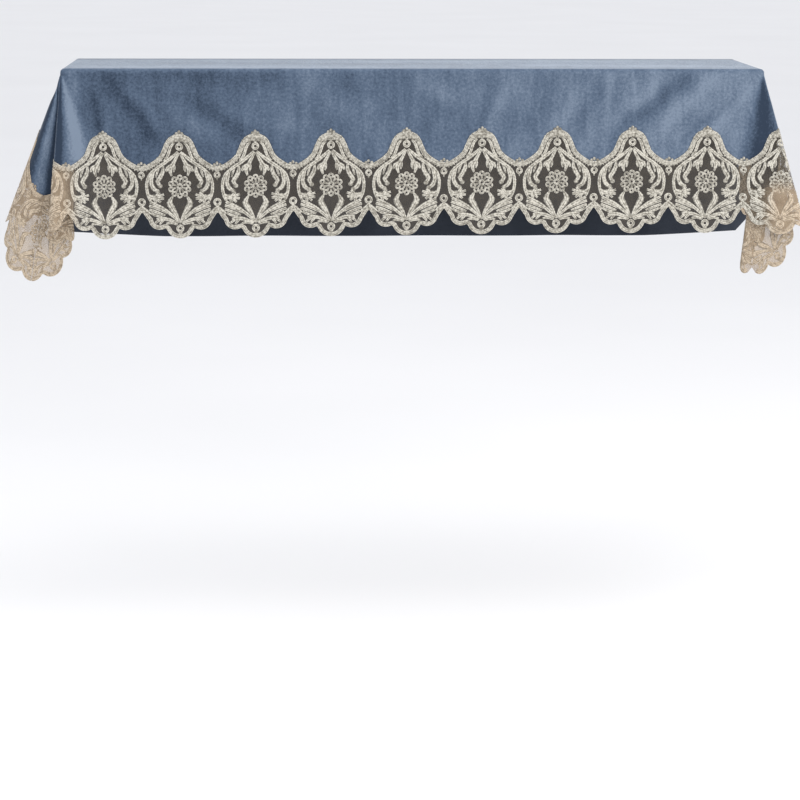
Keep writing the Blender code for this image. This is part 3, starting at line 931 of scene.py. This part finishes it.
def velvet_loose():
    """Loose points that carry the creases and waves of the panels and the flat top."""
    width, depth = (-HALF_WIDTH, HALF_WIDTH), (-HALF_DEPTH, HALF_DEPTH)
    drop = (PANEL_FROM, PANEL_TO)
    top_width, top_depth = HALF_WIDTH - 0.012, HALF_DEPTH - 0.016
    panels = (
        # grid, ends along, ends down or across, flat place
        (TOP_GRID, (-top_width, top_width), (-top_depth, top_depth), lambda x, y: (x, y)),
        (FRONT_GRID, width, drop, lambda x, down: (x, -HALF_DEPTH - down)),
        (BACK_GRID, width, (0.020, BACK_DROP - 0.040), lambda x, down: (x, HALF_DEPTH + down)),
        (SIDE_GRID, depth, drop, lambda y, down: (-HALF_WIDTH - down, y)),
        (SIDE_GRID, depth, drop, lambda y, down: (HALF_WIDTH + down, y)),
    )
    points = []
    for grid, along, across, place in panels:
        for value in steps_between(*along, grid):
            points += [place(value, other) for other in steps_between(*across, grid)]
    return [point for point in points if not in_fold(*point)]


def top_edge_lines():
    """Lines beside each edge of the top, where the cloth turns down."""
    lines = []
    along_x = steps_between(-0.754, 0.754, LINE_STEP)
    along_y = steps_between(-0.184, 0.184, LINE_STEP)
    for offset in EDGE_LINES:
        depth = HALF_DEPTH + offset * EDGE_ROUND
        width = HALF_WIDTH + offset * EDGE_ROUND
        for sign in (-1, 1):
            lines.append([(x, sign * depth) for x in along_x])
            lines.append([(sign * width, y) for y in along_y])
    return lines


def make_velvet():
    stops = [0.016, 0.024] + list(steps_between(0.034, 0.480, FOLD_STOP_STEP))
    lines = top_edge_lines()
    for side, end in CORNERS:
        lines += rulings(side, end, stops)
    back = HALF_DEPTH + BACK_DROP
    for inset in (HEM_RIM, HEM, HEM + HEM_SOFT):
        lines.append([(x, back - inset) for x in steps_between(-0.84, 0.84, LINE_STEP)])
    flat, triangles, area = cut_flat(
        velvet_outline(), lines, velvet_loose(), lambda x, y: True
    )
    x, y = flat.T
    hem = HEM_STEP * smooth(HEM + HEM_SOFT, HEM, back - y)
    outer = surface(x, y, VELVET + hem)
    inner = surface(x, y, 0.0)
    count = len(flat)
    faces = triangles.tolist() + (triangles[:, ::-1] + count).tolist()
    looks = [0] * len(triangles) + [1] * len(triangles)
    for start, end in rim_edges(triangles):
        faces.append([end, start, start + count, end + count])
        looks.append(0)
    made = new_object(
        "velvet_sheet",
        np.vstack((outer, inner)),
        faces,
        [velvet_look(), reverse_look()],
        looks,
        np.vstack((flat, flat)),
    )
    # Each point's tone: the pile lying lighter or darker, with painted light and shade of the folds,
    # the corners and the lighter right side
    mark(made, "nap_and_painted_shade", np.tile(nap_and_painted_shade(x, y) + shade(x, y), 2))
    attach(made, "root")
    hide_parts("velvet_cloth")


# The lace. Motif sizes are in millimetres: across from the middle of a repeat, and down from
# the edge of the top.

RIBBONS = (
    # points (across, down), widths, mirrored
    # the long leaf and the side of the medallion
    (((3, 165), (18, 178), (34, 190), (49, 200), (64, 214), (70, 231), (70, 247), (67, 260), (63, 270)),
     (5, 8, 8, 8, 7, 7, 7, 7, 5), True),
    # inner band of the arch
    (((10, 146), (15.6, 150), (20, 158), (22.6, 167), (27, 177), (34, 185)), (3, 6, 7, 7, 6, 4), True),
    # inner leaf under the top eyelet, with its forked end
    (((1, 167), (8, 180), (14, 191), (20, 203), (17, 217)), (4, 7, 9, 10, 3), True),
    (((16, 193), (25, 199), (29, 207)), (6, 9, 4), True),
    (((12, 190), (11, 199), (13, 208)), (4, 6, 3), True),
    # curled leaves inside the medallion
    (((35, 195), (36, 207), (41, 218), (47, 228), (42, 237)), (4, 9, 10, 10, 6), True),
    (((44, 200), (48, 209), (51, 219)), (3, 5, 3), True),
    (((54, 203), (58, 215), (61, 230), (56, 243), (48, 248)), (4, 8, 9, 10, 6), True),
    # fingered leaf
    (((70, 256), (60, 262), (50, 262)), (5, 12, 13), True),
    (((51, 261), (43, 251)), (8, 5), True),
    (((50, 262), (34, 256)), (8, 5), True),
    (((49, 264), (34, 265)), (8, 5), True),
    (((50, 265), (41, 273)), (8, 5), True),
    (((54, 266), (51, 275)), (7, 5), True),
    # tall leaves that rise from the bottom
    (((2, 315), (8, 300), (16, 287), (22, 274), (15, 259)), (5, 8, 13, 13, 3), True),
    # ribs of the wing
    (((4, 314), (16, 302), (34, 288), (50, 279), (64, 272)), (5, 7, 8, 8, 6), True),
    (((28, 296), (46, 287), (66, 280)), (4, 7, 6), True),
    (((32, 301), (50, 294), (66, 288)), (4, 7, 6), True),
    (((38, 304), (52, 301), (62, 296)), (4, 6, 5), True),
    # low leaves
    (((4, 318), (22, 311), (38, 308), (51, 309)), (5, 8, 9, 5), True),
    (((34, 309), (40, 315), (44, 321)), (6, 6, 4), True),
    (((42, 309), (49, 314), (54, 318)), (6, 6, 4), True),
    (((6, 321), (18, 317), (30, 319)), (4, 7, 4), True),
    # between two repeats
    (((80.5, 279), (80.5, 288)), (6, 8), False),
    (((80.5, 284), (74, 290), (64, 299)), (7, 9, 8), True),
    (((80.5, 196), (80.5, 209)), (5, 4), False),
    (((80.5, 220), (80.5, 226)), (4, 2), False),
)
RINGS = (
    # across, down, radius of the cord's middle, width, mirrored
    (0, 141.5, 2.7, 2.8, False),
    (0, 154.0, 5.6, 6.0, False),
    (0, 329.5, 5.8, 6.2, False),
    (80.5, 214.3, 5.0, 5.2, False),
    (80.5, 272.7, 6.1, 5.8, False),
)
# The rosette: the count, reach, radius and width of its looped petals, then the pads inside them
FLOWER_DOWN = 239
PETALS = (10, 19.4, 4.3, 4.1)
INNER_PETALS = (11.0, 4.2, 2.5)
EYELET = (4.8, 4.6)
FLOWER_BELOW = 0.042
FLOWER_LEAVES = (
    # angle, reach, length in millimetres
    (20, 30, 20),
    (70, 30, 20),
    (-20, 31, 22),
    (110, 31, 22),
    (-55, 30, 16),
    (145, 30, 16),
    (-125, 29, 14),
    (-100, 29, 12),
    (-155, 29, 12),
)
FLOWER_LEAF_WIDTHS = (3, 7, 3)
FLOWER_LEAF_BEND = 0.3
WAVER = 0.11
PADS = (
    # across, down, half across, half down, mirrored
    (0, 122.5, 3.4, 3.8, False),
    (5.6, 126.0, 3.6, 3.4, True),
    (9.5, 131.0, 3.6, 3.2, True),
    (0, 130.0, 4.5, 4.5, False),
    (7.5, 138.5, 6.0, 6.0, True),
    (0, 136.0, 6.0, 3.5, False),
    (13.0, 143.0, 4.0, 4.0, True),
    (42, 238, 5.5, 5.0, True),
    (48, 249, 5.5, 5.0, True),
    (80.5, 189.5, 3.2, 4.0, False),
    (75.0, 192.5, 3.4, 3.4, True),
    (0, 315, 4.0, 4.5, False),
    (0, 338, 5.0, 4.0, False),
)
RIBBON_STEP = 2.8
THREAD_RISE = 0.75
# A cord's section as shares of its width and rise, and a pad's as shares of its size and rise
SECTION = ((-0.5, 0.0), (-0.30, 0.85), (0.0, 1.0), (0.30, 0.85), (0.5, 0.0), (0.0, -0.5))
PAD_TOP = 1.15
PAD_RINGS = ((0.6, 0.95), (1.0, 0.0))
PAD_UNDER = -0.4
BEAD_SIDES = 6
EDGE_WORK = (
    # edge, kind, inset, width, step
    ("upper", "cord", 2.5, 5.2, 4.0),
    ("upper", "cord", 7.6, 4.8, 4.0),
    ("upper", "beads", 11.0, 3.6, 4.6),
    ("upper", "beads", 0.4, 3.0, 5.2),
    ("lower", "cord", -2.4, 4.9, 3.0),
    ("lower", "cord", -7.0, 4.6, 3.0),
)
# Small leaves beside the mitre: room at each end, step, the two distances off it, half size
MITRE_ROOM = (0.006, 0.016)
MITRE_STEP = 0.0075
MITRE_OFF = (0.0110, 0.0045)
MITRE_LEAF = (5.2, 2.7)


def through(points, widths, step):
    """A smooth line through the points, with its width at each step."""
    points = np.array(points, float)
    widths = np.array(widths, float)
    padded = np.vstack((2 * points[0] - points[1], points, 2 * points[-1] - points[-2]))
    wide = np.concatenate(([widths[0]], widths, [widths[-1]]))
    line, size = [], []
    for number in range(1, len(padded) - 2):
        before, start, end, after = padded[number - 1 : number + 3]
        steps = max(2, round(float(np.hypot(*(end - start))) / step))
        for part in range(steps):
            t = part / steps
            curve = 2 * start + (end - before) * t
            curve += (2 * before - 5 * start + 4 * end - after) * t**2
            curve += (3 * start - before - 3 * end + after) * t**3
            line.append(curve / 2)
            size.append(wide[number] * (1 - t) + wide[number + 1] * t)
    line.append(points[-1])
    size.append(widths[-1])
    return np.array(line), np.array(size)


class Work:
    """Raised work of one strip, in lace coordinates, as arrays of points and faces."""

    def __init__(self):
        self.points = []
        self.rises = []
        self.maps = []
        self.faces = []
        self.free = None

    def free_from(self):
        """What is added from here on may lie over the seam."""
        self.free = sum(len(part) for part in self.points)

    def add(self, points, rises, maps, faces):
        first = sum(len(part) for part in self.points)
        self.points.append(np.asarray(points, float))
        self.rises.append(np.asarray(rises, float))
        self.maps.append(np.asarray(maps, float))
        self.faces += [[number + first for number in face] for face in faces]

    def ribbon(self, line, widths, closed=False):
        """A flattened cord along a line."""
        count = len(line)
        if closed:
            along = np.roll(line, -1, axis=0) - np.roll(line, 1, axis=0)
        else:
            along = np.gradient(line, axis=0)
        along = along / np.maximum(np.hypot(*along.T), 1e-9)[:, None]
        aside = np.column_stack((-along[:, 1], along[:, 0]))
        walked = np.concatenate(([0], np.cumsum(np.hypot(*np.diff(line, axis=0).T))))
        sides = len(SECTION)
        points, rises, maps = [], [], []
        for number in range(count):
            for shift, height in SECTION:
                points.append(line[number] + aside[number] * shift * widths[number])
                rises.append(height * THREAD_RISE)
                maps.append((walked[number] / 1000, shift * widths[number] / 1000))
        faces = []
        for number in range(count if closed else count - 1):
            this, following = number * sides, (number + 1) % count * sides
            for side in range(sides):
                other = (side + 1) % sides
                faces.append([this + side, following + side, following + other, this + other])
        if not closed:
            faces.append(list(range(sides)))
            faces.append([(count - 1) * sides + side for side in range(sides)][::-1])
        self.add(points, rises, maps, faces)

    def ring(self, across, down, radius, width, segments=14):
        turn = np.linspace(0, 2 * math.pi, segments, endpoint=False)
        line = np.column_stack((across + radius * np.cos(turn), down + radius * np.sin(turn)))
        self.ribbon(line, np.full(segments, width), closed=True)

    def pad(self, across, down, half_across, half_down, turned=0.0, segments=10):
        """A small padded lobe, turned by an angle."""
        turn = np.linspace(0, 2 * math.pi, segments, endpoint=False)
        cos, sin = math.cos(turned), math.sin(turned)
        points, rises = [(across, down)], [PAD_TOP * THREAD_RISE]
        for share, height in PAD_RINGS:
            for angle in turn:
                x = share * half_across * math.cos(angle)
                y = share * half_down * math.sin(angle)
                points.append((across + x * cos - y * sin, down + x * sin + y * cos))
                rises.append(height * THREAD_RISE)
        points.append((across, down))
        rises.append(PAD_UNDER * THREAD_RISE)
        last = len(points) - 1
        faces = []
        for number in range(segments):
            other = (number + 1) % segments
            faces.append([0, 1 + other, 1 + number])
            inner, inner_other = 1 + number, 1 + other
            outer, outer_other = inner + segments, inner_other + segments
            faces.append([inner, inner_other, outer_other, outer])
            faces.append([last, outer, outer_other])
        self.add(points, rises, [(p[0] / 1000, p[1] / 1000) for p in points], faces)


def drawn(table, sign):
    """The rows of a table for this side: all on the right, and the mirrored ones on the left."""
    return [row[:-1] for row in table if row[-1] or sign > 0]


def motif(work, middle):
    """One repeat about a place along the lace."""
    for sign in (1, -1):
        for points, widths in drawn(RIBBONS, sign):
            line, size = through(points, widths, RIBBON_STEP)
            line[:, 0] = middle + sign * line[:, 0]
            ripple = np.where(np.arange(len(size)) % 2 == 0, 1 + WAVER, 1 - WAVER)
            work.ribbon(line, size * ripple)
        for across, *sizes in drawn(RINGS, sign):
            work.ring(middle + sign * across, *sizes)
        for across, *sizes in drawn(PADS, sign):
            work.pad(middle + sign * across, *sizes)
    rosette(work, middle, FLOWER_DOWN)


def rosette(work, across, down):
    """The round flower: an eyelet, a ring of pads and a ring of looped petals."""
    petals, reach, radius, width = PETALS
    inner_reach, half_long, half_wide = INNER_PETALS
    work.ring(across, down, *EYELET)
    for number in range(petals):
        angle = 2 * math.pi * (number + 0.5) / petals
        along, drop = math.cos(angle), math.sin(angle)
        work.ring(across + reach * along, down + reach * drop, radius, width, 10)
        work.pad(
            across + inner_reach * along, down + inner_reach * drop, half_long, half_wide, angle
        )


def edge_line(edge, low, high, inset, step):
    """A line inside an edge of the lace, over a span of counts."""
    count = steps_between(low, high, step / PITCH_MM)
    along = count * PITCH_MM
    down = edge(count) * 1000
    slope = np.gradient(down, along)
    length = np.hypot(1, slope)
    return np.column_stack((along - inset * slope / length, down + inset / length))


def edges(work, low, high):
    """The double cord of each edge, and the beads of the upper one."""
    for name, kind, inset, width, step in EDGE_WORK:
        edge = upper_edge if name == "upper" else lower_edge
        line = edge_line(edge, low, high, inset, step)
        if kind == "cord":
            work.ribbon(line, np.full(len(line), width))
            continue
        for across, down in line:
            work.pad(across, down, width / 2, width / 2, segments=BEAD_SIDES)


def on_mitre(count_of, out, down):
    """The place of a point beside the mitre, in the millimetres of the raised work."""
    count = float(count_of(out))
    return count * PITCH_MM, (down - float(sag(count))) * 1000


def mitre_leaves(work, count_of):
    """Small leaves in a row beside the mitre, where the two strips meet."""
    first = cross_diagonal(velvet_edge, count_of) + MITRE_ROOM[0]
    last = cross_diagonal(lambda count: lower_edge(count) + sag(count), count_of) - MITRE_ROOM[1]
    for number, out in enumerate(steps_between(first, last, MITRE_STEP)):
        off = MITRE_OFF[number % 2]
        turned = math.pi / 4 if number % 2 else -math.pi / 4
        work.pad(*on_mitre(count_of, out - off / 2, out + off / 2), *MITRE_LEAF, turned)


def corner_flower(work, count_of):
    """A rosette and its leaves over the mitre, sewn across the seam."""
    out = cross_diagonal(velvet_edge, count_of) + FLOWER_BELOW
    middle, down = on_mitre(count_of, out, out)
    work.free_from()
    rosette(work, middle, down)
    for angle, reach, long in FLOWER_LEAVES:
        turn = math.radians(angle)
        way = np.array((math.cos(turn), math.sin(turn)))
        bent = np.array((math.cos(turn + FLOWER_LEAF_BEND), math.sin(turn + FLOWER_LEAF_BEND)))
        start = np.array((middle, down)) + reach * way
        leaf = (start, start + 0.5 * long * bent, start + long * way)
        work.ribbon(*through(leaf, FLOWER_LEAF_WIDTHS, RIBBON_STEP))


def net_sheet(name, ends, count_at, to_flat, allowed, corners, warm, look):
    """The fine net of one strip, and its flat area."""
    along = steps_between(*ends, NET_EDGE_STEP)
    counts = count_at(along)
    upper = list(zip(along, upper_edge(counts) + sag(counts)))
    lower = list(zip(along, lower_edge(counts) + sag(counts)))
    outline = [to_flat(*point) for point in upper + lower[::-1]]
    stops = list(steps_between(*NET_STOPS, FOLD_STOP_STEP))
    lines = []
    for side, end in corners:
        lines += rulings(side, end, stops)
        if end == "front":
            x_sign = corner_signs(side, end)[0]
            seam = steps_between(*SEAM, NET_GRID)
            lines.append([(x_sign * (HALF_WIDTH + out), -HALF_DEPTH - out) for out in seam])
    loose = []
    for place in steps_between(*ends, NET_GRID):
        loose += [to_flat(place, down) for down in steps_between(*NET_DOWN, NET_GRID)]
    loose = [point for point in loose if not in_fold(*point)]
    flat, triangles, area = cut_flat(outline, lines, loose, allowed)
    made = new_object(name + "_net", surface(*flat.T, LACE_LIFT), triangles, [look], None, flat)
    mark(made, "past", warm(*flat.T))
    return made, tuple(float(size) for size in np.ptp(flat, axis=0)), area


def strip_work(first, last, corners):
    """The raised work of one strip, over a span of counts."""
    work = Work()
    for whole in range(math.floor(first), math.ceil(last)):
        motif(work, (whole + 0.5) * PITCH_MM)
    edges(work, first, last)
    seams = [side for side, end in corners if end == "front"]
    for side in seams:
        mitre_leaves(work, lambda out, side=side: side_repeat(side, out))
    if len(seams) == 2:
        for side in seams:
            corner_flower(work, lambda out, side=side: side_repeat(side, out))
    return work


def make_strip(name, ends, count_at, to_flat, allowed, corners, warm, look, net):
    """One strip of lace: fine net with the raised work on it."""
    tulle, size, area = net_sheet(name, ends, count_at, to_flat, allowed, corners, warm, net)
    span = steps_between(*ends, COUNT_STEP)
    counts = count_at(span)
    rising = counts[-1] > counts[0]
    ordered = (counts, span) if rising else (counts[::-1], span[::-1])
    first, last = float(ordered[0][0]), float(ordered[0][-1])
    work = strip_work(first, last, corners)
    points = np.vstack(work.points)
    rises = np.concatenate(work.rises) / 1000
    maps = np.vstack(work.maps)
    count = points[:, 0] / PITCH_MM
    place = np.interp(count, *ordered)
    down = points[:, 1] / 1000 + sag(count)
    flat_points = np.array([to_flat(a, d) for a, d in zip(place, down)])
    x, y = flat_points.T
    spot = surface(x, y, LACE_LIFT + rises)
    inside = np.array([allowed(*point) for point in flat_points])
    if work.free is not None:
        inside[work.free :] = True
    inside &= (count >= first - 1e-9) & (count <= last + 1e-9)
    faces = [face for face in work.faces if all(inside[number] for number in face)]
    corner = np.array([to_flat(0, 0), to_flat(0.001, 0), to_flat(0, 0.001)])
    det = np.cross(corner[1] - corner[0], corner[2] - corner[0])
    if det * (1 if rising else -1) < 0:
        faces = [face[::-1] for face in faces]
    used = sorted({number for face in faces for number in face})
    renumber = {number: place for place, number in enumerate(used)}
    faces = [[renumber[number] for number in face] for face in faces]
    raised = new_object(name + "_work", spot[used], faces, [look], None, maps[used])
    mark(raised, "past", warm(x[used], y[used]))

    for piece in (tulle, raised):
        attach(piece, "root")
        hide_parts(name)


def make_lace():
    """The trim along the front and both sides, mitred at the two front corners."""

    def in_front(x, y):
        return abs(x) - HALF_WIDTH < -y - HALF_DEPTH - HALF_SEAM

    def at_side(x, y):
        return abs(x) - HALF_WIDTH > -y - HALF_DEPTH + HALF_SEAM

    thread = thread_look()
    net = net_look()
    make_strip(
        "lace_front",
        (-HALF_WIDTH - LEFT_REACH, HALF_WIDTH + RIGHT_REACH),
        front_repeat,
        lambda along, down: (along, -HALF_DEPTH - down),
        in_front,
        (("left", "front"), ("right", "front")),
        warmth,
        thread,
        net,
    )
    for side, sign, reach in (("left", -1, LEFT_REACH), ("right", 1, RIGHT_REACH)):
        make_strip(
            "lace_" + side,
            (-HALF_DEPTH - reach, HALF_DEPTH),
            lambda along, side=side: side_repeat(side, -HALF_DEPTH - along),
            lambda along, down, sign=sign: (sign * (HALF_WIDTH + down), along),
            at_side,
            ((side, "front"), (side, "back")),
            lambda x, y: np.ones_like(x),
            thread,
            net,
        )


# Camera, light and floor


def make_camera():
    data = bpy.data.cameras.new("camera")
    data.lens = CAMERA_LENS
    data.sensor_width = SENSOR
    data.clip_start = 0.05
    data.clip_end = 300
    made = bpy.data.objects.new("camera", data)
    bpy.context.scene.collection.objects.link(made)
    made.location = CAMERA_AT
    made.rotation_euler = (QUARTER - CAMERA_PITCH, -CAMERA_ROLL, -CAMERA_YAW)
    bpy.context.scene.camera = made


def area_light(name, place, target, size, power, colour):
    data = bpy.data.lights.new(name, "AREA")
    data.shape = "RECTANGLE"
    data.size, data.size_y = size
    data.energy = power
    data.color = colour
    made = bpy.data.objects.new(name, data)
    bpy.context.scene.collection.objects.link(made)
    made.location = place
    aim = Vector(target) - Vector(place)
    made.rotation_euler = aim.to_track_quat("-Z", "Y").to_euler()


def make_stage():
    corners = ((-1, -1), (1, -1), (1, 1), (-1, 1))
    verts = [(FLOOR_HALF * x, FLOOR_HALF * y, FLOOR_Z) for x, y in corners]
    floor = new_object("floor", verts, [[0, 1, 2, 3]], [floor_look()], shade=False)
    world = bpy.data.worlds.new("world")
    world.use_nodes = True
    back = world.node_tree.nodes["Background"]
    back.inputs["Color"].default_value = SKY_COLOUR
    back.inputs["Strength"].default_value = SKY_STRENGTH
    bpy.context.scene.world = world
    for row in LIGHTS:
        area_light(*row)


make_camera()
make_velvet()
make_lace()
make_stage()
bpy.context.scene.view_settings.view_transform = "Standard"
